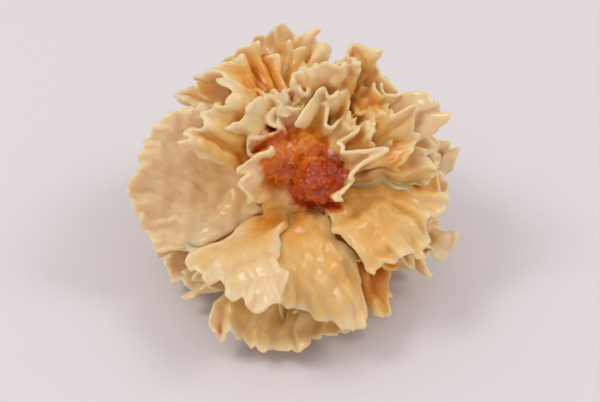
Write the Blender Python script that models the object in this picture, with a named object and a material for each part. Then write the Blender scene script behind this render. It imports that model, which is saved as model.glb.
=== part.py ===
"""A dried snow fungus: thin ruffled fronds round an amber heart, grown as one body.

Metres, +Z up. The origin is the middle of the small flat spot that the body rests on.
The front is -Y, and the heart looks up and towards the front.
"""

import math
import random
from dataclasses import dataclass

import bmesh
import bpy
import numpy as np
from mathutils import Matrix, Vector, noise

MM = 0.001

# Driving dimensions
REACH = 18.5 * MM  # a full frond, from the middle of its root to its rim
SWING = 1.8 * MM  # how far a full ruffle swings to each side of its frond
RIM_THICKNESS = 0.86 * MM
ROOT_THICKNESS = 1.5 * MM
CORE_RADIUS = 5.2 * MM  # the dense middle that every frond grows from
HEART_HEIGHT = 14.0 * MM
HEART_TILT = math.radians(28)  # the heart's axis leans this far from straight up to the front
FOOT_RADIUS = 6.0 * MM  # the flat spot below
FOOT_SIDES = 8
FOOT_HEIGHT = HEART_HEIGHT / 2
FOOT_TOP_RADIUS = 0.8 * CORE_RADIUS
HOVER = 0.9 * MM  # the lowest that the middle of a frond's thickness comes
EASE = 3.0 * MM  # fronds lower than this above it are lifted gently towards it

# The core and the heart
HEART = np.array([0.0, -HEART_HEIGHT / 14, HEART_HEIGHT])
BASE = np.array([0.0, 0.0, HEART_HEIGHT / 4.5])
RIGHT = np.array([1.0, 0.0, 0.0])
CORE_BOTTOM = FOOT_RADIUS / 3
KNOB_RADIUS = 0.54 * CORE_RADIUS
KNOB_LIFT = 0.8 * CORE_RADIUS  # along the heart's axis, so that the knobs stand proud
KNOBS = [(-2.4 * MM, 1.4 * MM), (2.0 * MM, -1.6 * MM)]  # to the right of and behind the heart's axis
LUMPINESS = 0.2
LUMP_RATE = 1.8  # higher makes more and smaller lumps

# How a frond is shaped
ROOT_START = 0.6 * CORE_RADIUS  # roots begin this far from the middle, sunk in the core
BROAD_GROWTH = 1.4  # the power by which broad ruffles grow towards the rim
NARROW_GROWTH = 2.6
NARROW_SHARE = 0.45  # narrow ruffles swing this share of what broad ones do
STEEPEST = 2.2  # the slope past which a ruffle's flank is let grow thinner
SWIRLS = [(22 * MM, 2.2 * MM, 13), (10 * MM, 0.4 * MM, 6)]  # wavelength, travel and seed

# How fine the mesh is
COLUMN_WIDTH = 2.4 * MM
LEAST_COLUMNS = 8
ROWS = 4
LEAST_ROWS = 3
SHORTEST_EDGE = 0.005 * MM  # what fusing leaves shorter than this is closed up

# Where the fronds stand
CLEAR_TURN = 22  # a feature keeps others out of its place by this turn, in degrees,
CLEAR_HEIGHT = 0.2  # and by this share of the core's height
SEED = 3
SEED_STEP = 20

COLOUR = (0.78, 0.53, 0.28, 1.0)
ROUGHNESS = 0.45
GLOW = 0.4  # the share of light that passes through its skin
SHARPEST_SMOOTH = math.radians(50)  # edges that turn by more than this are drawn sharp


@dataclass
class Frond:
    """One fan-shaped frond. Angles are in degrees, lengths are shares of REACH and SWING."""

    lean: float  # from the core's axis, at the height it grows from, to its middle line
    turn: float  # round that axis: 0 right, 90 behind, 180 left, 270 in front
    reach: float
    spread: float  # half of the fan's angle
    roll: float = 0.0
    waves: float = 2.4
    swing: float = 1.0
    curl: float = 0.0  # bend along the frond, in radians over its reach
    cup: float = 0.0  # bend across it
    height: float = 0.85  # where it grows from: 0 at the base, 1 at the heart
    lobing: float = 0.09
    round_off: float = 0.16  # how much shorter its sides are than its middle
    seed: int = 0


# What the front shows one by one: the ear on the left, two smooth tongues below the heart, the panel on
# the right, and the lobe low down at the very front
TONGUE = {"waves": 0.7, "swing": 0.4, "curl": -0.3, "cup": -0.3, "round_off": 0.3}
FEATURES = [
    Frond(80, 184, 1.02, 32, roll=-10, waves=0.8, swing=0.5, curl=0.1, cup=0.3, lobing=0.04, seed=20),
    Frond(68, 246, 0.94, 23, roll=16, height=0.86, seed=40, **TONGUE),
    Frond(76, 285, 1.00, 21, roll=-16, height=0.82, seed=60, **TONGUE),
    Frond(74, 340, 0.98, 27, roll=-10, waves=1.3, swing=0.8, curl=-0.2, height=0.82, lobing=0.05, seed=80),
    Frond(94, 263, 1.12, 25, roll=6, waves=1.5, swing=0.8, height=0.5, lobing=0.07, seed=100),
]


@dataclass
class Whorl:
    """A ring of like fronds round the core. Each frond differs a little, by a seeded draw."""

    height: float
    lean: float
    count: int
    start: float  # the turn of its first frond
    reach: float
    spread: float
    swing: float = 1.0
    turns: float = 360.0  # how far round the ring goes, in degrees


WHORLS = [
    Whorl(0.98, 38, 4, 20, 0.62, 32, swing=0.7, turns=180),
    Whorl(0.90, 57, 6, 22, 0.92, 32),
    Whorl(0.78, 78, 8, 30, 1.00, 30),
    Whorl(0.55, 88, 7, 8, 1.00, 30),
    Whorl(0.38, 98, 7, 28, 1.02, 30),
    Whorl(0.18, 106, 6, 0, 0.80, 34),
    Whorl(0.95, 48, 5, 30, 0.74, 28, turns=185),
    Whorl(0.84, 68, 2, 51, 0.85, 28, turns=104),
    Whorl(0.66, 83, 2, 76, 0.86, 28, turns=136),
]
# On each side of the tongues the fronds are shorter: the turn where most, how far round, by what share
NARROWINGS = [(221, 26, 0.38), (314, 25, 0.36)]

# How far the fronds of one whorl differ from each other
LEAN_JITTER = 5
TURN_JITTER = 0.15  # of the space from one frond to the next
REACH_RANGE = (0.93, 1.05)
SPREAD_RANGE = (0.88, 1.12)
ROLL_JITTER = 36
WAVES_RANGE = (1.4, 2.0)
SWING_RANGE = (0.85, 1.1)
CURL_RANGE = (-0.3, 0.4)
CUP_RANGE = (-0.4, 0.4)


def crowds(frond, feature):
    """Whether a frond would stand in a feature's place."""
    apart = abs((frond.turn - feature.turn + 180) % 360 - 180)
    return apart < CLEAR_TURN and abs(frond.height - feature.height) < CLEAR_HEIGHT


def fullness(turn):
    """The share of its whorl's reach that a frond has at this turn."""
    share = 1.0
    for middle, width, depth in NARROWINGS:
        apart = abs((turn - middle + 180) % 360 - 180)
        share -= depth * math.exp(-((apart / width) ** 2))
    return share


def whorl_fronds():
    """The fronds of every whorl but those that would stand in a feature's place."""
    draw = random.Random(SEED)
    fronds = []
    number = len(FEATURES)
    for whorl in WHORLS:
        space = whorl.turns / whorl.count
        for place in range(whorl.count):
            number += 1
            frond = Frond(
                lean=whorl.lean + draw.uniform(-LEAN_JITTER, LEAN_JITTER),
                turn=whorl.start + space * (place + draw.uniform(-TURN_JITTER, TURN_JITTER)),
                reach=whorl.reach * draw.uniform(*REACH_RANGE),
                spread=whorl.spread * draw.uniform(*SPREAD_RANGE),
                roll=draw.uniform(-ROLL_JITTER, ROLL_JITTER),
                waves=draw.uniform(*WAVES_RANGE),
                swing=whorl.swing * draw.uniform(*SWING_RANGE),
                curl=draw.uniform(*CURL_RANGE),
                cup=draw.uniform(*CUP_RANGE),
                height=whorl.height,
                seed=SEED_STEP * number,
            )
            frond.reach *= fullness(frond.turn)
            if not any(crowds(frond, feature) for feature in FEATURES):
                fronds.append(frond)
    return fronds


def clear_scene():
    """Empties the scene."""
    for thing in list(bpy.data.objects):
        bpy.data.objects.remove(thing)


def wander(across, along, seed, octaves=3):
    """A smooth wavering value, about -1 to 1, that depends only on its seed."""
    draw = random.Random(seed)
    total = np.zeros(across.shape)
    for octave in range(octaves):
        finer = 1.7**octave
        rate_across = draw.uniform(0.6, 1.4) * finer
        rate_along = draw.uniform(0.6, 1.4) * finer
        phase_across = draw.uniform(0, 2 * math.pi)
        phase_along = draw.uniform(0, 2 * math.pi)
        drift = 0.8 * np.sin(rate_along * along + phase_along)
        total = total + np.sin(rate_across * across + phase_across + drift) / 1.3**octave
    return total / octaves**0.7


def fan(frond, columns, rows, seed):
    """The frond's upper and lower face, before it is bent: x along it, y across it, z its ruffles."""
    side, part = np.meshgrid(np.linspace(-1, 1, columns + 1), np.linspace(0, 1, rows + 1), indexing="ij")
    angle = side * math.radians(frond.spread)
    reach = frond.reach * REACH
    lobes = frond.lobing * wander(4 * side, 0 * side, seed + 11)
    rim = reach * (1 - frond.round_off * np.abs(side) ** 3 + lobes)
    radius = ROOT_START + (rim - ROOT_START) * part
    outward = radius / reach
    phase = frond.waves * math.pi * side
    broad = np.sin(phase + 1.8 * wander(1.5 * side, 2.2 * outward, seed))
    broad = broad * (0.75 + 0.35 * wander(2 * side, 1.5 * outward, seed + 1))
    narrow = np.sin(2 * phase + 2 * wander(2.2 * side, 3 * outward, seed + 2))
    ruffles = outward**BROAD_GROWTH * broad + NARROW_SHARE * outward**NARROW_GROWTH * narrow
    swing = frond.swing * SWING * ruffles
    slope_out = np.gradient(swing, axis=1) / np.gradient(radius, axis=1)
    slope_round = np.gradient(swing, axis=0) / (np.gradient(angle, axis=0) * radius)
    steep = np.minimum(np.sqrt(1 + slope_out**2 + slope_round**2), STEEPEST)
    thickness = RIM_THICKNESS + (ROOT_THICKNESS - RIM_THICKNESS) * np.clip(1 - outward, 0, 1) ** 1.5
    half = steep * thickness / 2
    x, y = radius * np.cos(angle), radius * np.sin(angle)
    return np.stack([np.stack([x, y, swing + half], -1), np.stack([x, y, swing - half], -1)])


def bend(points, curl, cup):
    """Rolls the fan onto a wide cylinder across it, then along it. Curvatures in radians a metre."""
    x, y, z = np.moveaxis(points, -1, 0)
    if cup:
        y, z = np.sin(cup * y) * (1 / cup - z), 1 / cup - np.cos(cup * y) * (1 / cup - z)
    if curl:
        x, z = np.sin(curl * x) * (1 / curl - z), 1 / curl - np.cos(curl * x) * (1 / curl - z)
    return np.stack([x, y, z], -1)


def core_axis(height):
    """The core's own direction at a height: straight up at its base, leaning to the front at the heart."""
    tilt = HEART_TILT * height
    return np.array([0.0, -math.sin(tilt), math.cos(tilt)])


def direction(frond):
    """Which way the frond grows out."""
    lean, turn = math.radians(frond.lean), math.radians(frond.turn)
    up = core_axis(frond.height)
    outward = math.cos(turn) * RIGHT + math.sin(turn) * np.cross(up, RIGHT)
    return math.cos(lean) * up + math.sin(lean) * outward


def aim(frond, points):
    """Turns the fan from its own axes to its place round the heart."""
    turn, roll = math.radians(frond.turn), math.radians(frond.roll)
    along = direction(frond)
    across = math.cos(turn) * np.cross(core_axis(frond.height), RIGHT) - math.sin(turn) * RIGHT
    normal = np.cross(along, across)
    rolled_across = math.cos(roll) * across + math.sin(roll) * normal
    rolled_normal = math.cos(roll) * normal - math.sin(roll) * across
    start = BASE + (HEART - BASE) * frond.height
    return start + points @ np.array([along, rolled_across, rolled_normal])


def flow(points, wavelength, travel, seed, steps=6, waves=18):
    """Carries points along one smooth swirling field, so that sheets bend together and never cross."""
    draw = np.random.RandomState(seed)
    facing = draw.normal(size=(waves, 3))
    facing /= np.linalg.norm(facing, axis=1)[:, None]
    push = np.cross(facing, draw.normal(size=(waves, 3)))
    push /= np.linalg.norm(push, axis=1)[:, None]
    rate = facing * (2 * math.pi / wavelength) * draw.uniform(0.7, 1.3, (waves, 1))
    phase = draw.uniform(0, 2 * math.pi, waves)
    step = travel / steps * math.sqrt(2 / waves)
    for _ in range(steps):
        points = points + step * np.cos(points @ rate.T + phase) @ push
    return points


def settle(points):
    """Lifts what would sink to the surface below gently to HOVER above it, at its full thickness."""
    middle = points.mean(axis=0)[..., 2]
    above = np.minimum(middle - HOVER - EASE, 0)
    lift = EASE * np.exp(above / EASE) - EASE - above
    points = points.copy()
    points[..., 2] += lift
    return points


def sheet_faces(columns, rows):
    """Triangles of a closed sheet: its two faces, split alike, and the strip round its edge."""
    count = (columns + 1) * (rows + 1)

    def at(column, row):
        return column * (rows + 1) + row

    faces = []
    for column in range(columns):
        for row in range(rows):
            a, b = at(column, row), at(column + 1, row)
            c, d = at(column + 1, row + 1), at(column, row + 1)
            halves = [(a, b, c), (a, c, d)] if (column + row) % 2 else [(a, b, d), (b, c, d)]
            for p, q, r in halves:
                faces.append((p, r, q))
                faces.append((p + count, q + count, r + count))
    edge = [at(column, 0) for column in range(columns)]
    edge += [at(columns, row) for row in range(rows)]
    edge += [at(column, rows) for column in range(columns, 0, -1)]
    edge += [at(0, row) for row in range(rows, 0, -1)]
    for a, b in zip(edge, edge[1:] + edge[:1]):
        faces.append((a, b, b + count))
        faces.append((a, b + count, a + count))
    return faces


def face_outward(mesh):
    """Turns the faces of a closed mesh to look out."""
    body = bmesh.new()
    body.from_mesh(mesh)
    if body.calc_volume(signed=True) < 0:
        bmesh.ops.reverse_faces(body, faces=body.faces)
    body.to_mesh(mesh)
    body.free()


def make_frond(frond):
    """One frond as a closed sheet, bent, in its place and swirled with all the others."""
    reach = frond.reach * REACH
    columns = max(LEAST_COLUMNS, round(2 * math.radians(frond.spread) * reach / COLUMN_WIDTH))
    rows = max(LEAST_ROWS, round(ROWS * frond.reach))
    points = fan(frond, columns, rows, frond.seed)
    points = bend(points, frond.curl / reach, frond.cup / reach)
    points = aim(frond, points)
    for wavelength, travel, flow_seed in SWIRLS:
        points = flow(points, wavelength, travel, flow_seed)
    points = settle(points)
    mesh = bpy.data.meshes.new("frond")
    mesh.from_pydata(points.reshape(-1, 3).tolist(), [], sheet_faces(columns, rows))
    face_outward(mesh)
    return mesh


def make_lump(name, middle, radii, subdivisions, seed):
    """A lumpy ball with its own radius along each axis."""
    body = bmesh.new()
    bmesh.ops.create_icosphere(body, subdivisions=subdivisions, radius=1)
    shift = Vector((seed, 2 * seed, 3 * seed))
    for vert in body.verts:
        lump = 1 + LUMPINESS * noise.noise(vert.co * LUMP_RATE + shift)
        vert.co = Vector(middle) + Vector(r * c * lump for r, c in zip(radii, vert.co))
    mesh = bpy.data.meshes.new(name)
    body.to_mesh(mesh)
    body.free()
    return mesh


def make_core():
    """The dense middle, from just above the foot's flat spot to the heart."""
    top = HEART_HEIGHT + CORE_RADIUS
    middle = (0, HEART[1] / 2, (top + CORE_BOTTOM) / 2)
    return make_lump("core", middle, (CORE_RADIUS, CORE_RADIUS, (top - CORE_BOTTOM) / 2), 2, seed=7)


def make_knobs():
    """The two amber knobs that the heart is made of."""
    knobs = []
    up = core_axis(1)
    for number, (right, away) in enumerate(KNOBS):
        middle = HEART + KNOB_LIFT * up + right * RIGHT + away * np.cross(up, RIGHT)
        knobs.append(make_lump("knob", middle, (KNOB_RADIUS,) * 3, 2, seed=number + 1))
    return knobs


def make_foot():
    """The flat spot: a short many-sided stub, narrower where it meets the core."""
    body = bmesh.new()
    bmesh.ops.create_cone(
        body,
        cap_ends=True,
        segments=FOOT_SIDES,
        radius1=FOOT_RADIUS,
        radius2=FOOT_TOP_RADIUS,
        depth=FOOT_HEIGHT,
        matrix=Matrix.Translation((0, 0, FOOT_HEIGHT / 2)),
    )
    mesh = bpy.data.meshes.new("foot")
    body.to_mesh(mesh)
    body.free()
    return mesh


def fuse(name, base, others):
    """One Boolean union of the base mesh with all the others."""
    group = bpy.data.collections.new("grown_on")
    bpy.context.scene.collection.children.link(group)
    for mesh in others:
        group.objects.link(bpy.data.objects.new(mesh.name, mesh))
    whole = bpy.data.objects.new(name, base)
    bpy.context.scene.collection.objects.link(whole)
    union = whole.modifiers.new("grow_together", "BOOLEAN")
    union.operation = "UNION"
    union.operand_type = "COLLECTION"
    union.collection = group
    union.solver = "MANIFOLD"
    bpy.context.view_layer.objects.active = whole
    bpy.ops.object.modifier_apply(modifier=union.name)
    for thing in list(group.objects):
        bpy.data.objects.remove(thing)
    bpy.data.collections.remove(group)
    return whole


def shells_of(body):
    """The closed shells that a mesh is made of, each a list of its corners."""
    seen = set()
    shells = []
    for start in body.verts:
        if start in seen:
            continue
        seen.add(start)
        shell = [start]
        for vert in shell:
            for edge in vert.link_edges:
                near = edge.other_vert(vert)
                if near not in seen:
                    seen.add(near)
                    shell.append(near)
        shells.append(shell)
    return shells


def clean(mesh):
    """Fills hollows that fusing sealed, drops loose scraps and closes up the shortest edges."""
    body = bmesh.new()
    body.from_mesh(mesh)
    for shell in sorted(shells_of(body), key=len)[:-1]:
        bmesh.ops.delete(body, geom=shell, context="VERTS")
    bmesh.ops.triangulate(body, faces=body.faces)
    bmesh.ops.dissolve_degenerate(body, edges=body.edges, dist=SHORTEST_EDGE)
    bmesh.ops.triangulate(body, faces=body.faces)
    body.to_mesh(mesh)
    body.free()


def make_material():
    """Pale amber, satin, and lit through where it is thin."""
    material = bpy.data.materials.new("dried_fungus")
    material.use_nodes = True
    shader = material.node_tree.nodes["Principled BSDF"]
    shader.inputs["Base Color"].default_value = COLOUR
    shader.inputs["Roughness"].default_value = ROUGHNESS
    shader.inputs["Metallic"].default_value = 0.0
    shader.inputs["Subsurface Weight"].default_value = GLOW
    shader.inputs["Subsurface Scale"].default_value = RIM_THICKNESS
    return material


def main():
    clear_scene()
    fronds = [make_frond(frond) for frond in FEATURES + whorl_fronds()]
    body = fuse("fruit_body", make_core(), [make_foot()] + make_knobs() + fronds)
    clean(body.data)
    body.data.materials.clear()
    body.data.materials.append(make_material())
    body.data.shade_smooth()
    body.data.set_sharp_from_angle(angle=SHARPEST_SMOOTH)


main()
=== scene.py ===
"""The looks of a dried snow fungus: one floret of thin, crimped, translucent fronds round an amber heart.

Metres, +Z up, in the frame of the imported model. The front is -Y.
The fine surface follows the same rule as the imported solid, with finer waves added, and replaces it.
"""

import math
import random
from dataclasses import dataclass

import bmesh
import bpy
import numpy as np
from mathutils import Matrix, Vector, noise
from mathutils.kdtree import KDTree


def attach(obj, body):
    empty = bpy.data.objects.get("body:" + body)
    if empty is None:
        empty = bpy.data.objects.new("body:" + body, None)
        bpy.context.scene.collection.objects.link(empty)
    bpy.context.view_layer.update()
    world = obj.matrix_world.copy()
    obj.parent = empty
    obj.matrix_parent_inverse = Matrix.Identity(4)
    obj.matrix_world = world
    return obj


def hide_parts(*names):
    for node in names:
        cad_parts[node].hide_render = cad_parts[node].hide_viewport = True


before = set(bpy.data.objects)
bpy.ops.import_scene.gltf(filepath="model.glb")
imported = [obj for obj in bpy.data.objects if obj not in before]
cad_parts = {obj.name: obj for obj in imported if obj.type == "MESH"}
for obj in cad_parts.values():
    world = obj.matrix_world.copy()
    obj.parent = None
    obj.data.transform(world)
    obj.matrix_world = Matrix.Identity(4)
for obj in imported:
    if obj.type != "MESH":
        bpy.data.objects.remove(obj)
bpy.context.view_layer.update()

MM = 0.001

# The solid's own dimensions
REACH = 18.5 * MM  # a full frond, from the middle of its root to its rim
SWING = 1.8 * MM  # how far a full ruffle swings to each side of its frond
ROOT_THICKNESS = 1.5 * MM
CORE_RADIUS = 5.2 * MM  # the dense middle that every frond grows from
HEART_HEIGHT = 14.0 * MM
HEART_TILT = math.radians(28)  # the heart's axis leans this far from straight up to the front
FOOT_RADIUS = 6.0 * MM  # the flat spot below
FOOT_SIDES = 8
FOOT_HEIGHT = HEART_HEIGHT / 2
FOOT_TOP_RADIUS = 0.8 * CORE_RADIUS
HOVER = 0.9 * MM  # the lowest that the middle of a frond's thickness comes
EASE = 3.0 * MM  # fronds lower than this above it are lifted gently towards it

# The core and the heart
HEART = np.array([0.0, -HEART_HEIGHT / 14, HEART_HEIGHT])
BASE = np.array([0.0, 0.0, HEART_HEIGHT / 4.5])
RIGHT = np.array([1.0, 0.0, 0.0])
CORE_TOP = HEART_HEIGHT + CORE_RADIUS
CORE_BOTTOM = FOOT_RADIUS / 3
KNOB_RADIUS = 0.54 * CORE_RADIUS
KNOB_LIFT = 0.8 * CORE_RADIUS  # along the heart's axis, so that the knobs stand proud
# To the right of and behind the heart's axis, share of KNOB_RADIUS, and how deep the amber is. The last
# knob is the fine surface's own.
KNOBS = [
    (-2.4 * MM, 1.4 * MM, 1.0, 0.62),
    (2.0 * MM, -1.6 * MM, 1.0, 1.00),
    (0.9 * MM, 2.3 * MM, 0.75, 0.20),
]
LUMPINESS = 0.2
LUMP_RATE = 1.8  # higher makes more and smaller lumps
CORE_SEED = 7

# How a frond is shaped
ROOT_START = 0.6 * CORE_RADIUS  # roots begin this far from the middle, sunk in the core
SIDE_POWER = 3  # higher rounds off only the last of a frond's sides
BROAD_GROWTH = 1.4  # the power by which broad ruffles grow towards the rim
NARROW_GROWTH = 2.6
NARROW_SHARE = 0.45  # narrow ruffles swing this share of what broad ones do
THINNING = 1.5  # the power by which a frond grows thicker from its rim to its root

# Where the fronds stand
CLEAR_TURN = 22  # a feature keeps others out of its place by this turn, in degrees,
CLEAR_HEIGHT = 0.2  # and by this share of the core's height
SEED = 3
SEED_STEP = 20

# What the fine surface adds
RIM_THICKNESS = 0.39 * MM
BEAD_THICKNESS = 0.26 * MM  # how much thicker the rim is at each of its beads
# Wavelength, travel and seed. The last two are the fine surface's own.
SWIRLS = [
    (22 * MM, 2.2 * MM, 13),
    (10 * MM, 0.4 * MM, 6),
    (3.4 * MM, 0.3 * MM, 7),
    (1.6 * MM, 0.09 * MM, 8),
]
FRILL_WAVE = 2.9 * MM  # from one fold of the rim to the next
FRILL_TURN = 1.6  # how far the rim turns from side to side, in radians, as it meanders
FRILL_ROOT = REACH / 3  # nearer the middle than this, a fold's shift is still taken as if it were here
CRIMP_WAVE = 1.4 * MM
CRIMP_SWING = 0.24 * MM
PLEAT_WAVE = 1.0 * MM  # fine pleats that run from the root to the rim
PLEAT_SWING = 0.11 * MM
SCALLOP_WAVE = 1.9 * MM
SCALLOP_DEPTH = 0.32 * MM
SCALLOP_POWER = 0.7  # below 1 makes each scallop fuller and the notch between two of them sharper
SCALLOP_NOTCH = 1.2  # how far the notch cuts in, in SCALLOP_DEPTH
WRINKLE_RATE = 4.5
WRINKLE_LEVEL = 0.3  # what is taken off a wrinkle, so that wrinkles don't swell the whole lump
CORE_WRINKLES = 0.1  # how deep they are, as a share of the lump's radius
KNOB_WRINKLES = 0.36

# From the root, 0, to the rim, 1: where each begins, over how much it grows, and by what power
FRILL_GROWTH = (0.2, 0.8, 1.3)
CRIMP_GROWTH = (0.7, 0.3, 1.5)
PLEAT_GROWTH = (0.25, 0.4, 1)
BEAD_GROWTH = (0.88, 0.1, 1)
# The rounding of the edge begins and grows in the same way, towards the rim and towards both sides
RIM_ROUNDING = (0.965, 0.035, 1)
SIDE_ROUNDING = (0.97, 0.03, 1)
MOST_ROUNDING = 0.97  # 1 would take the edge down to nothing

# How fine the mesh is
COLUMN_WIDTH = 0.2 * MM
ROW_HEIGHT = 0.25 * MM
LUMP_SUBDIVISIONS = 5
VOXEL = 0.165 * MM
SMOOTHING = {"factor": 0.5, "iterations": 2}
MOST_TRIANGLES = 199_000  # in one piece
PIECES = ["top_fronds", "upper_fronds", "middle_fronds", "lower_fronds", "under_fronds"]

# How far the two counts of what is near reach, and which of their percentiles count as 0 and as 1
# The two counts set the painted shade and amber glow of crowded places and of fine creases
CROWD_REACH = 2.2 * MM
CREASE_REACH = 0.7 * MM
CROWD_SPAN = (2, 97)

# The heart's colour is full up to this many knob radii from a knob's middle, and fades over this many
HEART_EDGE = 1.15
HEART_FADE = 0.6
LEAST_NEARNESS = 1e-6  # every place counts as at least this near to each knob

# Patches of deeper amber, painted shade and glow in pockets such as the gap under the right panel: middle
# and reach in millimetres, and strength
AMBER_SHADE_PATCHES = [
    ((-3.2, -5.6, 12.7), 3.2, 0.50),
    ((11.4, -3.4, 18.5), 1.8, 0.50),
    ((7.7, 1.2, 24.0), 2.2, 0.35),
    ((10.1, -11.5, 7.5), 3.6, 0.60),
    ((14.9, -3.3, 17.5), 1.6, 0.30),
    ((-5.9, 6.5, 22.5), 2.4, 0.30),
]

# The fronds' colours, by depth, much of it painted light and shade: from the palest rims to the deepest
# crevices
FLESH_AND_SHADE = [
    (0.0, (0.87, 0.67, 0.39)),
    (0.25, (0.84, 0.56, 0.21)),
    (0.5, (0.84, 0.44, 0.09)),
    (0.75, (0.82, 0.31, 0.03)),
    (1.0, (0.72, 0.18, 0.01)),
]
# What changes that depth: the value that is read, from where to where, and what that adds
DEPTHS = [
    # painted shade and amber glow where fronds crowd
    ("crowding", (0.25, 1.0), (0.0, 0.36)),
    # painted shade in fine creases
    ("crease_shade", (0.25, 1.0), (0.0, 0.28)),
    # darker towards the root: partly the thicker tissue's own amber, partly painted shade deep in and
    # painted light at the thin rims
    ("outward", (1.0, 0.3), (0.0, 0.26)),
    # painted highlight along each frond's free edge
    ("margin", (0.0, 1.4), (-0.18, 0.06)),
    ("tint", (-2.0, 2.0), (-0.24, 0.24)),
]
# The heart's colours, by how deep its amber is
AMBER = [
    (0.1, (0.87, 0.38, 0.02)),
    (0.5, (0.76, 0.21, 0.004)),
    (1.0, (0.46, 0.045, 0.0005)),
]

# The noise in the material: about how many spots fit in a metre, and how much each adds or takes
NOISE_SPAN = (0.3, 0.7)  # where nearly all values of a noise lie
PATCH_RATE = 180
PATCH_CHANGE = 0.10
BLOTCH_RATE = 300
BLOTCH_CHANGE = 0.24
GLOSS_RATE = 700
RAGGED_RATE = 800
RAGGED_CHANGE = 0.3
GRAIN_RATE = 1500
# Fibres run along a frond
FIBRE_RATE = 1.6  # how many fit in a millimetre
FIBRE_STRETCH = 0.2  # below 1 makes them longer than they are wide
FIBRE_OFFSET = 40.0  # keeps the fibres of two fronds from being the same
FIBRE_CHANGE = 0.09
FIBRE_RELIEF = 1.2  # how high they stand in the relief, as a share of its grain

# The surface of the dried jelly
HEART_SPAN = (0.35, 0.85)  # how near the heart its colour begins and is full
ROUGHNESS_SPAN = (0.28, 0.46)
RELIEF = 0.07 * MM
JELLY = {
    "Specular IOR Level": 0.35,
    "Coat Weight": 0.5,
    "Coat Roughness": 0.14,
    "Subsurface Weight": 1.0,
    "Subsurface Radius": (1.0, 0.55, 0.25),
    "Subsurface Scale": 0.9 * MM,
}

# The floor, the light and the view
FLOOR_SIZE = 2
FLOOR = {"Base Color": (0.80, 0.745, 0.76, 1), "Roughness": 0.85, "Specular IOR Level": 0.2}
LIGHT_SIZE = 0.16
LIGHTS = [
    ("left_light", (-0.30, -0.06, 0.42), 0.64),
    ("right_light", (0.32, -0.02, 0.40), 0.50),
]  # name, place and watts
WORLD_COLOUR = (1.0, 0.975, 0.985, 1)
WORLD_STRENGTH = 0.63
VIEW_ELEVATION = math.radians(40)
VIEW_DISTANCE = 0.168
LENS = 85  # millimetres
NEAREST = 0.005  # what is nearer to the camera than this isn't drawn
AIM = Vector((0, -0.001, 0.011))  # what the camera and the lights look at


@dataclass
class Frond:
    """One fan-shaped frond. Angles are in degrees, lengths are shares of REACH and SWING."""

    lean: float  # from the core's axis, at the height it grows from, to its middle line
    turn: float  # round that axis: 0 right, 90 behind, 180 left, 270 in front
    reach: float
    spread: float  # half of the fan's angle
    roll: float = 0.0
    waves: float = 2.4
    swing: float = 1.0
    curl: float = 0.0  # bend along the frond, in radians over its reach
    cup: float = 0.0  # bend across it
    height: float = 0.85  # where it grows from: 0 at the base, 1 at the heart
    lobing: float = 0.09
    round_off: float = 0.16  # how much shorter its sides are than its middle
    seed: int = 0
    frill: float = 1.0  # how strongly its rim is folded
    tint: float = None  # how deep its colour is, -2 to 2. Without one it is drawn from its seed, -1 to 1


# What the front shows one by one: the ear on the left, two smooth tongues below the heart, the panel on
# the right, and the lobe low down at the very front
EAR = {"waves": 0.8, "swing": 0.5, "curl": 0.1, "cup": 0.3, "lobing": 0.04, "frill": 0.5}
TONGUE = {"waves": 0.7, "swing": 0.4, "curl": -0.3, "cup": -0.3, "round_off": 0.3, "frill": 0.35}
PANEL = {"waves": 1.3, "swing": 0.8, "curl": -0.2, "lobing": 0.05, "frill": 0.9}
FEATURES = [
    Frond(80, 184, 1.02, 32, roll=-10, seed=20, tint=-1.6, **EAR),
    Frond(68, 246, 0.94, 23, roll=16, height=0.86, seed=40, tint=-0.6, **TONGUE),
    Frond(76, 285, 1.00, 21, roll=-16, height=0.82, seed=60, tint=0.9, **TONGUE),
    Frond(74, 340, 0.98, 27, roll=-10, height=0.82, seed=80, tint=1.3, **PANEL),
    Frond(94, 263, 1.12, 25, roll=6, waves=1.5, swing=0.8, height=0.5, lobing=0.07, seed=100, tint=0.8),
]


@dataclass
class Whorl:
    """A ring of like fronds round the core. Each frond differs a little, by a seeded draw."""

    height: float
    lean: float
    count: int
    start: float  # the turn of its first frond
    reach: float
    spread: float
    swing: float = 1.0
    turns: float = 360.0  # how far round the ring goes, in degrees


WHORLS = [
    Whorl(0.98, 38, 4, 20, 0.62, 32, swing=0.7, turns=180),
    Whorl(0.90, 57, 6, 22, 0.92, 32),
    Whorl(0.78, 78, 8, 30, 1.00, 30),
    Whorl(0.55, 88, 7, 8, 1.00, 30),
    Whorl(0.38, 98, 7, 28, 1.02, 30),
    Whorl(0.18, 106, 6, 0, 0.80, 34),
    Whorl(0.95, 48, 5, 30, 0.74, 28, turns=185),
    Whorl(0.84, 68, 2, 51, 0.85, 28, turns=104),
    Whorl(0.66, 83, 2, 76, 0.86, 28, turns=136),
]
# On each side of the tongues the fronds are shorter: the turn where most, how far round, by what share
NARROWINGS = [(221, 26, 0.38), (314, 25, 0.36)]
# Smaller fronds that fill in between the main whorls, on the fine surface alone
FILLERS = [
    Whorl(0.66, 83, 1, 18, 0.86, 28, turns=60),
    Whorl(0.46, 93, 6, 0, 0.88, 28),
    Whorl(0.28, 102, 5, 30, 0.78, 30),
    Whorl(0.93, 52, 4, 35, 0.66, 24, turns=190),
]
FILLER_SEED = 11
FILLER_FIRST = 60  # the fillers are numbered from here on, past the main fronds
TRIMMED = {600: 0.6}  # by seed, how much of its spread a frond keeps that would come through a tongue

# How far the fronds of one whorl differ from each other
LEAN_JITTER = 5
TURN_JITTER = 0.15  # of the space from one frond to the next
REACH_RANGE = (0.93, 1.05)
SPREAD_RANGE = (0.88, 1.12)
ROLL_JITTER = 36
WAVES_RANGE = (1.4, 2.0)
SWING_RANGE = (0.85, 1.1)
CURL_RANGE = (-0.3, 0.4)
CUP_RANGE = (-0.4, 0.4)


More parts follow.
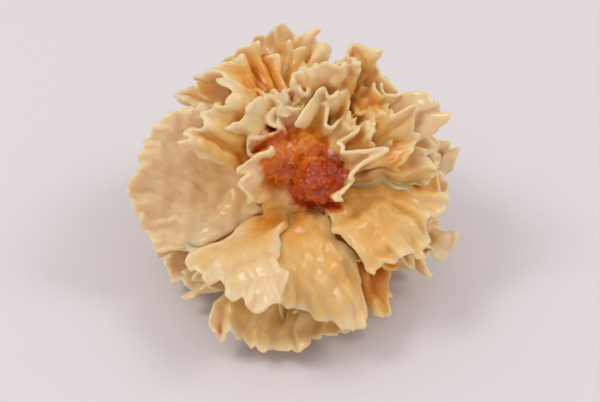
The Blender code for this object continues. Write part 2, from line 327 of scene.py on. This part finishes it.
def wander(across, along, seed, octaves=3):
    """A smooth wavering value, about -1 to 1, that depends only on its seed."""
    draw = random.Random(seed)
    total = np.zeros(across.shape)
    for octave in range(octaves):
        finer = 1.7**octave
        rate_across = draw.uniform(0.6, 1.4) * finer
        rate_along = draw.uniform(0.6, 1.4) * finer
        phase_across = draw.uniform(0, 2 * math.pi)
        phase_along = draw.uniform(0, 2 * math.pi)
        drift = 0.8 * np.sin(rate_along * along + phase_along)
        total = total + np.sin(rate_across * across + phase_across + drift) / 1.3**octave
    return total / octaves**0.7


@dataclass
class Waver:
    """What keeps the waves of a frond from being even: a smooth value that differs from place to place."""

    strength: float
    across: float  # how fast it changes across a frond
    along: float  # how fast it changes along it
    seed: int  # what it adds to the frond's own seed
    level: float = 0.0  # its middle value

    def at(self, across, along, frond):
        """Its value at each place on the frond."""
        value = wander(self.across * across, self.along * along, frond.seed + self.seed)
        return self.level + self.strength * value


# These go across a frond from -1 at one side to 1 at the other
BROAD_PHASE = Waver(1.8, 1.5, 2.2, seed=0)
BROAD_SIZE = Waver(0.35, 2, 1.5, seed=1, level=0.75)
NARROW_PHASE = Waver(2, 2.2, 3, seed=2)
FRILL_SIZE = Waver(0.3, 1.4, 0, seed=5, level=0.85)
LOBES = Waver(1, 4, 0, seed=11)
# And these by the millimetre
FRILL_PHASE = Waver(2, 0.28, 2.4, seed=3)
CRIMP_PHASE = Waver(2, 0.35, 2, seed=4)
PLEAT_PHASE = Waver(2.2, 0.5, 3, seed=6)
PLEAT_SIZE = Waver(0.4, 0.3, 2, seed=7, level=0.6)
SCALLOP_PHASE = Waver(1.2, 0.4, 0, seed=12)


def crowds(frond, feature):
    """Whether a frond would stand in a feature's place."""
    apart = abs((frond.turn - feature.turn + 180) % 360 - 180)
    return apart < CLEAR_TURN and abs(frond.height - feature.height) < CLEAR_HEIGHT


def fullness(turn):
    """The share of its whorl's reach that a frond has at this turn."""
    share = 1.0
    for middle, width, depth in NARROWINGS:
        apart = abs((turn - middle + 180) % 360 - 180)
        share -= depth * math.exp(-((apart / width) ** 2))
    return share


def whorl_fronds(whorls, seed, number):
    """The fronds of every whorl but those in a feature's place. They are numbered on from this number."""
    draw = random.Random(seed)
    fronds = []
    for whorl in whorls:
        space = whorl.turns / whorl.count
        for place in range(whorl.count):
            number += 1
            frond = Frond(
                lean=whorl.lean + draw.uniform(-LEAN_JITTER, LEAN_JITTER),
                turn=whorl.start + space * (place + draw.uniform(-TURN_JITTER, TURN_JITTER)),
                reach=whorl.reach * draw.uniform(*REACH_RANGE),
                spread=whorl.spread * draw.uniform(*SPREAD_RANGE),
                roll=draw.uniform(-ROLL_JITTER, ROLL_JITTER),
                waves=draw.uniform(*WAVES_RANGE),
                swing=whorl.swing * draw.uniform(*SWING_RANGE),
                curl=draw.uniform(*CURL_RANGE),
                cup=draw.uniform(*CUP_RANGE),
                height=whorl.height,
                seed=SEED_STEP * number,
            )
            frond.reach *= fullness(frond.turn)
            if not any(crowds(frond, feature) for feature in FEATURES):
                fronds.append(frond)
    return fronds


def grown(value, start, length, power):
    """0 up to the start, then growing to 1 over the length."""
    return np.clip((value - start) / length, 0, 1) ** power


def rim_phase(arc, wave, waver):
    """How far through its waves each place across the frond is, in radians."""
    return 2 * math.pi * arc * MM / wave + waver


def meander(turn, wave, phase):
    """A strip longer than its place folds from side to side: its swing, and its shift along the place.

    The numbers keep it close to the curve of a strip that turns evenly from side to side.
    """
    radius = wave / (2 * math.pi)
    swing = radius * turn * (1 + 0.15 * turn**2) * np.sin(phase)
    shift = -radius * 0.13 * turn**2 * (1 + 0.28 * turn**2) * np.sin(2 * phase)
    return swing, shift


def make_scallops(frond, part, arc):
    """The small scallops of the rim: 0 in the notch between two of them, 1 in the middle of each."""
    phase = rim_phase(arc, 2 * SCALLOP_WAVE, SCALLOP_PHASE.at(arc, part, frond))
    return np.abs(np.sin(phase))


def make_rim(frond, side, part, scallop):
    """How far the rim is from the middle: lobed, scalloped, and nearer at the frond's sides."""
    lobes = frond.lobing * LOBES.at(side, part, frond)
    rim = frond.reach * REACH * (1 - frond.round_off * np.abs(side) ** SIDE_POWER + lobes)
    return rim + SCALLOP_DEPTH * min(frond.frill, 1) * (2 * scallop**SCALLOP_POWER - SCALLOP_NOTCH)


def make_ruffles(frond, side, outward):
    """How far the broad and the narrow ruffles swing. The solid has them too."""
    phase = frond.waves * math.pi * side
    broad = np.sin(phase + BROAD_PHASE.at(side, outward, frond))
    broad = broad * BROAD_SIZE.at(side, outward, frond)
    narrow = np.sin(2 * phase + NARROW_PHASE.at(side, outward, frond))
    ruffles = outward**BROAD_GROWTH * broad + NARROW_SHARE * outward**NARROW_GROWTH * narrow
    return frond.swing * SWING * ruffles


def make_frill(frond, side, part, arc, outward):
    """How far the folds of the rim swing, and how far they shift it across the frond."""
    size = frond.frill * FRILL_SIZE.at(side, part, frond)
    turn = FRILL_TURN * size * grown(part, *FRILL_GROWTH)
    phase = rim_phase(arc, FRILL_WAVE, FRILL_PHASE.at(arc, outward, frond))
    return meander(turn, FRILL_WAVE, phase)


def make_crimp(frond, part, arc):
    """How far the small crimps of the rim swing."""
    phase = rim_phase(arc, CRIMP_WAVE, CRIMP_PHASE.at(arc, part, frond))
    return CRIMP_SWING * grown(part, *CRIMP_GROWTH) * np.sin(phase)


def make_pleats(frond, part, arc, outward):
    """How far the fine pleats swing."""
    phase = rim_phase(arc, PLEAT_WAVE, PLEAT_PHASE.at(arc, outward, frond))
    pleats = PLEAT_SWING * grown(part, *PLEAT_GROWTH) * np.sin(phase)
    return pleats * PLEAT_SIZE.at(arc, outward, frond)


def make_thickness(side, part, outward, scallop):
    """How thick the frond is: thin at its rim but for its beads, and rounded off at its edge."""
    thickness = RIM_THICKNESS + (ROOT_THICKNESS - RIM_THICKNESS) * np.clip(1 - outward, 0, 1) ** THINNING
    thickness = thickness + BEAD_THICKNESS * scallop**2 * grown(part, *BEAD_GROWTH)
    rounding = np.maximum(grown(part, *RIM_ROUNDING), grown(np.abs(side), *SIDE_ROUNDING))
    rounding = np.minimum(rounding, MOST_ROUNDING)
    return thickness * np.sqrt(1 - rounding**2)


def fan(frond, columns, rows):
    """The frond before it is bent: the middle of its thickness, its thickness, and what colours it.

    The middle has x along the frond, y across it and z its ruffles.
    """
    side, part = np.meshgrid(np.linspace(-1, 1, columns + 1), np.linspace(0, 1, rows + 1), indexing="ij")
    angle = side * math.radians(frond.spread)
    reach = frond.reach * REACH
    arc = angle * reach / MM
    scallop = make_scallops(frond, part, arc)
    rim = make_rim(frond, side, part, scallop)
    radius = ROOT_START + (rim - ROOT_START) * part
    outward = radius / reach
    fold_swing, fold_shift = make_frill(frond, side, part, arc, outward)
    swing = make_ruffles(frond, side, outward) + fold_swing
    swing = swing + make_crimp(frond, part, arc) + make_pleats(frond, part, arc, outward)
    turned = angle + fold_shift / np.maximum(radius, FRILL_ROOT)
    points = np.stack([radius * np.cos(turned), radius * np.sin(turned), swing], -1)
    margin = np.minimum(rim - radius, (1 - np.abs(side)) * math.radians(frond.spread) * radius)
    facts = np.stack([outward, margin / MM, arc, radius / MM], -1)
    return points, make_thickness(side, part, outward, scallop), facts


def bend(points, curl, cup):
    """Rolls the fan onto a wide cylinder across it, then along it. Curvatures in radians a metre."""
    x, y, z = np.moveaxis(points, -1, 0)
    if cup:
        y, z = np.sin(cup * y) * (1 / cup - z), 1 / cup - np.cos(cup * y) * (1 / cup - z)
    if curl:
        x, z = np.sin(curl * x) * (1 / curl - z), 1 / curl - np.cos(curl * x) * (1 / curl - z)
    return np.stack([x, y, z], -1)


def core_axis(height):
    """The core's own direction at a height: straight up at its base, leaning to the front at the heart."""
    tilt = HEART_TILT * height
    return np.array([0.0, -math.sin(tilt), math.cos(tilt)])


def direction(frond):
    """Which way the frond grows out."""
    lean, turn = math.radians(frond.lean), math.radians(frond.turn)
    up = core_axis(frond.height)
    outward = math.cos(turn) * RIGHT + math.sin(turn) * np.cross(up, RIGHT)
    return math.cos(lean) * up + math.sin(lean) * outward


def aim(frond, points):
    """Turns the fan from its own axes to its place round the heart."""
    turn, roll = math.radians(frond.turn), math.radians(frond.roll)
    along = direction(frond)
    across = math.cos(turn) * np.cross(core_axis(frond.height), RIGHT) - math.sin(turn) * RIGHT
    normal = np.cross(along, across)
    rolled_across = math.cos(roll) * across + math.sin(roll) * normal
    rolled_normal = math.cos(roll) * normal - math.sin(roll) * across
    start = BASE + (HEART - BASE) * frond.height
    return start + points @ np.array([along, rolled_across, rolled_normal])


def flow(points, wavelength, travel, seed, steps=6, waves=18):
    """Carries points along one smooth swirling field, so that sheets bend together and never cross."""
    draw = np.random.RandomState(seed)
    facing = draw.normal(size=(waves, 3))
    facing /= np.linalg.norm(facing, axis=1)[:, None]
    push = np.cross(facing, draw.normal(size=(waves, 3)))
    push /= np.linalg.norm(push, axis=1)[:, None]
    rate = facing * (2 * math.pi / wavelength) * draw.uniform(0.7, 1.3, (waves, 1))
    phase = draw.uniform(0, 2 * math.pi, waves)
    step = travel / steps * math.sqrt(2 / waves)
    for _ in range(steps):
        points = points + step * np.cos(points @ rate.T + phase) @ push
    return points


def settle(points):
    """Lifts what would sink to the surface below gently to HOVER above it."""
    above = np.minimum(points[..., 2] - HOVER - EASE, 0)
    points = points.copy()
    points[..., 2] += EASE * np.exp(above / EASE) - EASE - above
    return points


def sheet_quads(columns, rows):
    """Quads of a closed sheet: its two faces and the strip round its edge."""
    grid = np.arange((columns + 1) * (rows + 1)).reshape(columns + 1, rows + 1)
    a, b, c, d = grid[:-1, :-1], grid[1:, :-1], grid[1:, 1:], grid[:-1, 1:]
    upper = np.stack([a, b, c, d], -1).reshape(-1, 4)
    lower = upper[:, ::-1] + grid.size
    edge = np.concatenate([grid[:-1, 0], grid[-1, :-1], grid[:0:-1, -1], grid[0, :0:-1]])
    after = np.roll(edge, -1)
    strip = np.stack([after, edge, edge + grid.size, after + grid.size], -1)
    return np.concatenate([upper, lower, strip])


def thicken(points, thickness):
    """The two faces of a sheet, each half its thickness from its middle."""
    normal = np.cross(np.gradient(points, axis=0), np.gradient(points, axis=1))
    normal /= np.maximum(np.linalg.norm(normal, axis=-1, keepdims=True), 1e-12)
    half = normal * thickness[..., None] / 2
    return np.concatenate([(points + half).reshape(-1, 3), (points - half).reshape(-1, 3)])


# What colours a frond: how far out each place is, how far from the frond's free edge, its place across and
# along the frond, and the frond's own tint
FACTS = ["outward", "margin", "across", "along", "tint"]


@dataclass
class Sheet:
    """A finished frond: the corners and quads of its closed sheet, and its middle with what colours it."""

    corners: np.ndarray
    quads: np.ndarray
    middle: np.ndarray
    facts: np.ndarray
    height: float


def make_sheet(frond):
    """One frond as a closed sheet, bent, in its place and swirled with all the others."""
    reach = frond.reach * REACH
    columns = int(2 * math.radians(frond.spread) * reach / COLUMN_WIDTH)
    rows = int(reach / ROW_HEIGHT)
    points, thickness, facts = fan(frond, columns, rows)
    tint = random.Random(frond.seed).uniform(-1, 1) if frond.tint is None else frond.tint
    points = bend(points, frond.curl / reach, frond.cup / reach)
    points = aim(frond, points)
    for wavelength, travel, flow_seed in SWIRLS:
        points = flow(points, wavelength, travel, flow_seed)
    points = settle(points)
    return Sheet(
        corners=thicken(points, thickness),
        quads=sheet_quads(columns, rows),
        middle=points.reshape(-1, 3),
        facts=np.column_stack([facts.reshape(-1, len(FACTS) - 1), np.full(thickness.size, tint)]),
        height=frond.height,
    )


def make_sheets():
    """Every frond of the floret, the main ones as in the solid and the small ones between them."""
    fronds = FEATURES + whorl_fronds(WHORLS, SEED, len(FEATURES))
    fronds += whorl_fronds(FILLERS, FILLER_SEED, FILLER_FIRST)
    for frond in fronds:
        frond.spread *= TRIMMED.get(frond.seed, 1)
    return [make_sheet(frond) for frond in fronds]


def make_lump(middle, radii, seed, wrinkles):
    """Corners and triangles of a lumpy, wrinkled ball with its own radius along each axis."""
    body = bmesh.new()
    bmesh.ops.create_icosphere(body, subdivisions=LUMP_SUBDIVISIONS, radius=1)
    shift = Vector((seed, 2 * seed, 3 * seed))
    corners = []
    for vert in body.verts:
        lump = 1 + LUMPINESS * noise.noise(vert.co * LUMP_RATE + shift)
        lump += wrinkles * (abs(noise.noise(vert.co * WRINKLE_RATE - shift)) - WRINKLE_LEVEL)
        corners.append([m + r * c * lump for m, r, c in zip(middle, radii, vert.co)])
    triangles = [[vert.index for vert in face.verts] for face in body.faces]
    body.free()
    return np.array(corners), triangles


def knob_middle(right, away):
    """Where the middle of a knob is that lies this far right of and behind the heart's axis."""
    up = core_axis(1)
    return HEART + KNOB_LIFT * up + right * RIGHT + away * np.cross(up, RIGHT)


def make_lumps():
    """The dense middle, and the amber knobs of the heart."""
    middle = (0, HEART[1] / 2, (CORE_TOP + CORE_BOTTOM) / 2)
    radii = (CORE_RADIUS, CORE_RADIUS, (CORE_TOP - CORE_BOTTOM) / 2)
    lumps = [make_lump(middle, radii, CORE_SEED, CORE_WRINKLES)]
    for number, (right, away, share, _) in enumerate(KNOBS):
        radii = (share * KNOB_RADIUS,) * 3
        lumps.append(make_lump(knob_middle(right, away), radii, number + 1, KNOB_WRINKLES))
    return lumps


def make_foot():
    """The flat spot: a short many-sided stub, narrower where it meets the core."""
    body = bmesh.new()
    bmesh.ops.create_cone(
        body,
        cap_ends=True,
        segments=FOOT_SIDES,
        radius1=FOOT_RADIUS,
        radius2=FOOT_TOP_RADIUS,
        depth=FOOT_HEIGHT,
    )
    corners = np.array([vert.co + Vector((0, 0, FOOT_HEIGHT / 2)) for vert in body.verts])
    faces = [[vert.index for vert in face.verts] for face in body.faces]
    body.free()
    return corners, faces


def join(parts):
    """One mesh of several closed bodies, each given as its corners and faces."""
    corners, faces, count = [], [], 0
    for part_corners, part_faces in parts:
        corners.append(part_corners)
        faces += [[index + count for index in face] for face in part_faces]
        count += len(part_corners)
    mesh = bpy.data.meshes.new("floret")
    mesh.from_pydata(np.concatenate(corners), [], faces)
    return mesh


def apply(thing, kind, **settings):
    """Adds a modifier and applies it."""
    modifier = thing.modifiers.new(kind.lower(), kind)
    for name, value in settings.items():
        setattr(modifier, name, value)
    bpy.context.view_layer.objects.active = thing
    bpy.ops.object.modifier_apply(modifier=modifier.name)


def shells_of(body):
    """The closed shells that a mesh is made of, each a list of its corners."""
    seen = set()
    shells = []
    for start in body.verts:
        if start in seen:
            continue
        seen.add(start)
        shell = [start]
        for vert in shell:
            for edge in vert.link_edges:
                near = edge.other_vert(vert)
                if near not in seen:
                    seen.add(near)
                    shell.append(near)
        shells.append(shell)
    return shells


def drop_scraps(mesh):
    """Keeps the largest closed shell of a mesh, without the scraps that fusing leaves beside it."""
    body = bmesh.new()
    body.from_mesh(mesh)
    for shell in sorted(shells_of(body), key=len)[:-1]:
        bmesh.ops.delete(body, geom=shell, context="VERTS")
    body.to_mesh(mesh)
    body.free()


def fuse(thing):
    """Makes one even skin of the bodies that cross each other, with at most MOST_TRIANGLES triangles."""
    apply(thing, "REMESH", mode="VOXEL", voxel_size=VOXEL, adaptivity=0.0)
    drop_scraps(thing.data)
    apply(thing, "SMOOTH", **SMOOTHING)
    triangles = 2 * len(thing.data.polygons)
    if triangles > MOST_TRIANGLES:
        apply(thing, "DECIMATE", ratio=MOST_TRIANGLES / triangles)
    thing.data.shade_smooth()


def share_out(sheets):
    """The sheets from the top down, in as many lots as there are pieces, with about as much in each."""
    sheets = sorted(sheets, key=lambda sheet: -sheet.height)
    total = sum(len(sheet.quads) for sheet in sheets)
    lots = [[] for _ in PIECES]
    done = 0
    for sheet in sheets:
        lots[min(int(done / total * len(lots)), len(lots) - 1)].append(sheet)
        done += len(sheet.quads)
    return lots


def make_pieces(sheets):
    """The floret in closed pieces from the top down. The first one has the heart, core and flat spot."""
    pieces = []
    for name, lot in zip(PIECES, share_out(sheets)):
        bodies = [(sheet.corners, sheet.quads.tolist()) for sheet in lot]
        if not pieces:
            bodies += make_lumps() + [make_foot()]
        piece = bpy.data.objects.new(name, join(bodies))
        bpy.context.scene.collection.objects.link(piece)
        fuse(piece)
        pieces.append(piece)
    return pieces


def nearest_on(sheets, places):
    """For each place, the facts of the nearest bit of frond."""
    middles = np.concatenate([sheet.middle for sheet in sheets])
    tree = KDTree(len(middles))
    for number, place in enumerate(middles.tolist()):
        tree.insert(place, number)
    tree.balance()
    nearest = np.array([tree.find(place)[1] for place in places.tolist()])
    facts = np.concatenate([sheet.facts for sheet in sheets])[nearest]
    return dict(zip(FACTS, facts.T))


def crowding(places, reach):
    """How much of the floret lies within about this reach of each place, 0 to 1, from a blurred count."""
    cell = reach / 3
    border = 3 * reach
    low = places.min(0) - border
    size = np.ceil((places.max(0) + border - low) / cell).astype(int)
    at = ((places - low) / cell).astype(int)
    count = np.zeros(size)
    np.add.at(count, tuple(at.T), 1.0)
    rates = np.meshgrid(*[np.fft.fftfreq(n, cell) for n in size], indexing="ij")
    blur = np.exp(-2 * (math.pi * reach) ** 2 * sum(rate**2 for rate in rates))
    near = np.fft.ifftn(np.fft.fftn(count) * blur).real[tuple(at.T)]
    least, most = np.percentile(near, CROWD_SPAN)
    return np.clip((near - least) / (most - least), 0, 1)


def near_heart(places):
    """1 on the heart's knobs, falling to 0 just past them, and how deep the amber of the knobs near is."""
    near = []
    for right, away, share, _ in KNOBS:
        distance = np.linalg.norm(places - knob_middle(right, away), axis=1) / (share * KNOB_RADIUS)
        near.append(np.clip(1 - (distance - HEART_EDGE) / HEART_FADE, 0, 1))
    near = np.array(near) + LEAST_NEARNESS
    tones = [tone for *_, tone in KNOBS]
    return near.max(0), near.T @ tones / near.sum(0)


def near_shade_patches(places):
    """How much deeper the painted shade patches make the colour."""
    deeper = np.zeros(len(places))
    for middle, reach, strength in AMBER_SHADE_PATCHES:
        distance = np.linalg.norm(places / MM - middle, axis=1)
        deeper = np.maximum(deeper, strength * np.exp(-((distance / reach) ** 2)))
    return deeper


def add_value(mesh, name, values):
    """Stores one number for each corner of the mesh."""
    attribute = mesh.attributes.new(name, "FLOAT", "POINT")
    attribute.data.foreach_set("value", values.astype(np.float32))


def corners_of(piece):
    """The places of a piece's corners."""
    places = np.empty(len(piece.data.vertices) * 3, np.float32)
    piece.data.vertices.foreach_get("co", places)
    return places.reshape(-1, 3).astype(float)


def colour_by_place(pieces, sheets):
    """Stores what the material reads: each corner's place on its frond, how crowded for the painted shade,
    how near the heart and the painted shade patches.
    """
    lots = [corners_of(piece) for piece in pieces]
    places = np.concatenate(lots)
    values = nearest_on(sheets, places)
    # painted shade and amber glow where fronds crowd and in fine creases
    values["crowding"] = crowding(places, CROWD_REACH)
    values["crease_shade"] = crowding(places, CREASE_REACH)
    values["heart"], values["knob_tone"] = near_heart(places)
    # painted shade and amber glow in pockets
    values["amber"] = near_shade_patches(places)
    start = 0
    for piece, lot in zip(pieces, lots):
        for name, numbers in values.items():
            add_value(piece.data, name, numbers[start : start + len(lot)])
        start += len(lot)


class Nodes:
    """A material's node tree, with short ways to add nodes and links."""

    def __init__(self, name):
        self.material = bpy.data.materials.new(name)
        self.material.use_nodes = True
        self.tree = self.material.node_tree
        self.shader = self.tree.nodes["Principled BSDF"]

    def link(self, value, socket):
        """Links the socket to another one, or sets it to a number."""
        if isinstance(value, bpy.types.NodeSocket):
            self.tree.links.new(value, socket)
        else:
            socket.default_value = value

    def finish(self, values):
        """Sets what is the same all over the surface on the shader's own sockets."""
        for name, value in values.items():
            self.shader.inputs[name].default_value = value

    def attribute(self, name):
        node = self.tree.nodes.new("ShaderNodeAttribute")
        node.attribute_name = name
        return node.outputs["Fac"]

    def place(self):
        return self.tree.nodes.new("ShaderNodeTexCoord").outputs["Object"]

    def vector(self, x, y, z):
        node = self.tree.nodes.new("ShaderNodeCombineXYZ")
        for socket, value in zip(node.inputs, (x, y, z)):
            self.link(value, socket)
        return node.outputs["Vector"]

    def noise(self, rate, detail, roughness=0.5, place=None):
        node = self.tree.nodes.new("ShaderNodeTexNoise")
        node.inputs["Scale"].default_value = rate
        node.inputs["Detail"].default_value = detail
        node.inputs["Roughness"].default_value = roughness
        self.link(place or self.place(), node.inputs["Vector"])
        return node.outputs["Fac"]

    def maths(self, operation, a, b):
        node = self.tree.nodes.new("ShaderNodeMath")
        node.operation = operation
        self.link(a, node.inputs[0])
        self.link(b, node.inputs[1])
        return node.outputs[0]

    def spread(self, value, low, high, to_low=0.0, to_high=1.0):
        """The value mapped from its range to another, and kept in it."""
        node = self.tree.nodes.new("ShaderNodeMapRange")
        self.link(value, node.inputs["Value"])
        for name, number in zip(("From Min", "From Max", "To Min", "To Max"), (low, high, to_low, to_high)):
            node.inputs[name].default_value = number
        return node.outputs["Result"]

    def change(self, value, amount):
        """A noise turned into a change of up to this amount either way."""
        return self.spread(value, *NOISE_SPAN, -amount, amount)

    def ramp(self, value, stops):
        node = self.tree.nodes.new("ShaderNodeValToRGB")
        elements = node.color_ramp.elements
        while len(elements) < len(stops):
            elements.new(1.0)
        for element, (position, colour) in zip(elements, stops):
            element.position = position
            element.color = (*colour, 1.0)
        self.link(value, node.inputs["Fac"])
        return node.outputs["Color"]

    def mix(self, share, a, b):
        node = self.tree.nodes.new("ShaderNodeMix")
        node.data_type = "RGBA"
        self.link(share, node.inputs[0])
        self.link(a, node.inputs[6])
        self.link(b, node.inputs[7])
        return node.outputs[2]

    def bump(self, height, distance):
        node = self.tree.nodes.new("ShaderNodeBump")
        node.inputs["Distance"].default_value = distance
        self.link(height, node.inputs["Height"])
        return node.outputs["Normal"]


def make_fibres(nodes):
    """Fine streaks along each frond."""
    across = nodes.attribute("across")
    along = nodes.maths("MULTIPLY", nodes.attribute("along"), FIBRE_STRETCH)
    own = nodes.maths("MULTIPLY", nodes.attribute("tint"), FIBRE_OFFSET)
    return nodes.noise(FIBRE_RATE, 3, 0.6, nodes.vector(across, along, own))


def flesh_and_shade_colour(nodes, fibres):
    """Pale at the rims, with a painted highlight on their edges, golden lower down, and amber painted shade
    where fronds crowd, in creases and in a few patches.
    """
    changes = [nodes.spread(nodes.attribute(name), *span, *change) for name, span, change in DEPTHS]
    changes.append(nodes.change(nodes.noise(PATCH_RATE, 3), PATCH_CHANGE))
    changes.append(nodes.change(fibres, FIBRE_CHANGE))
    depth = nodes.attribute("amber")
    for change in changes:
        depth = nodes.maths("ADD", depth, change)
    return nodes.ramp(depth, FLESH_AND_SHADE)


def heart_colour(nodes):
    """The blotched amber of the knobs."""
    blotches = nodes.change(nodes.noise(BLOTCH_RATE, 3), BLOTCH_CHANGE)
    return nodes.ramp(nodes.maths("ADD", nodes.attribute("knob_tone"), blotches), AMBER)


def fungus_colour(nodes, fibres):
    """The fronds' colour, with its painted light and shade, and the heart's where it is near, with a ragged
    edge between them.
    """
    ragged = nodes.change(nodes.noise(RAGGED_RATE, 3), RAGGED_CHANGE)
    nearness = nodes.maths("ADD", nodes.attribute("heart"), ragged)
    return nodes.mix(nodes.spread(nearness, *HEART_SPAN), flesh_and_shade_colour(nodes, fibres), heart_colour(nodes))


def make_fungus_material():
    """Dried jelly: glossy, finely wrinkled, and lit a little way in from its surface."""
    nodes = Nodes("dried_fungus")
    fibres = make_fibres(nodes)
    nodes.link(fungus_colour(nodes, fibres), nodes.shader.inputs["Base Color"])
    roughness = nodes.spread(nodes.noise(GLOSS_RATE, 2), *NOISE_SPAN, *ROUGHNESS_SPAN)
    nodes.link(roughness, nodes.shader.inputs["Roughness"])
    grain = nodes.noise(GRAIN_RATE, 4, 0.6)
    relief = nodes.maths("ADD", grain, nodes.maths("MULTIPLY", fibres, FIBRE_RELIEF))
    nodes.link(nodes.bump(relief, RELIEF), nodes.shader.inputs["Normal"])
    nodes.finish(JELLY)
    return nodes.material


def make_floor():
    """A plain pale surface under the floret."""
    bpy.ops.mesh.primitive_plane_add(size=FLOOR_SIZE)
    floor = bpy.context.object
    floor.name = "floor"
    nodes = Nodes("pale_floor")
    nodes.finish(FLOOR)
    floor.data.materials.append(nodes.material)


def add_light(name, place, power):
    """A soft square light that looks at the floret."""
    light = bpy.data.lights.new(name, "AREA")
    light.size = LIGHT_SIZE
    light.energy = power
    thing = bpy.data.objects.new(name, light)
    bpy.context.scene.collection.objects.link(thing)
    thing.location = place
    thing.rotation_euler = (AIM - Vector(place)).to_track_quat("-Z", "Y").to_euler()


def make_light():
    """Two soft studio lights from above, left and right, and pale light all round."""
    for name, place, power in LIGHTS:
        add_light(name, place, power)
    world = bpy.data.worlds.new("studio")
    world.use_nodes = True
    background = world.node_tree.nodes["Background"]
    background.inputs["Color"].default_value = WORLD_COLOUR
    background.inputs["Strength"].default_value = WORLD_STRENGTH
    bpy.context.scene.world = world


def make_camera():
    """Looks down at the floret from the front, as the photograph does, through a long lens."""
    data = bpy.data.cameras.new("camera")
    data.lens = LENS
    data.clip_start = NEAREST
    camera = bpy.data.objects.new("camera", data)
    bpy.context.scene.collection.objects.link(camera)
    back = Vector((0, -math.cos(VIEW_ELEVATION), math.sin(VIEW_ELEVATION)))
    camera.location = AIM + VIEW_DISTANCE * back
    camera.rotation_euler = (-back).to_track_quat("-Z", "Y").to_euler()
    bpy.context.scene.camera = camera


sheets = make_sheets()
pieces = make_pieces(sheets)
colour_by_place(pieces, sheets)
fungus = make_fungus_material()
for piece in pieces:
    piece.data.materials.append(fungus)
    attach(piece, "root")
    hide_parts("fruit_body")
make_floor()
make_light()
make_camera()
bpy.context.scene.view_settings.view_transform = "Standard"
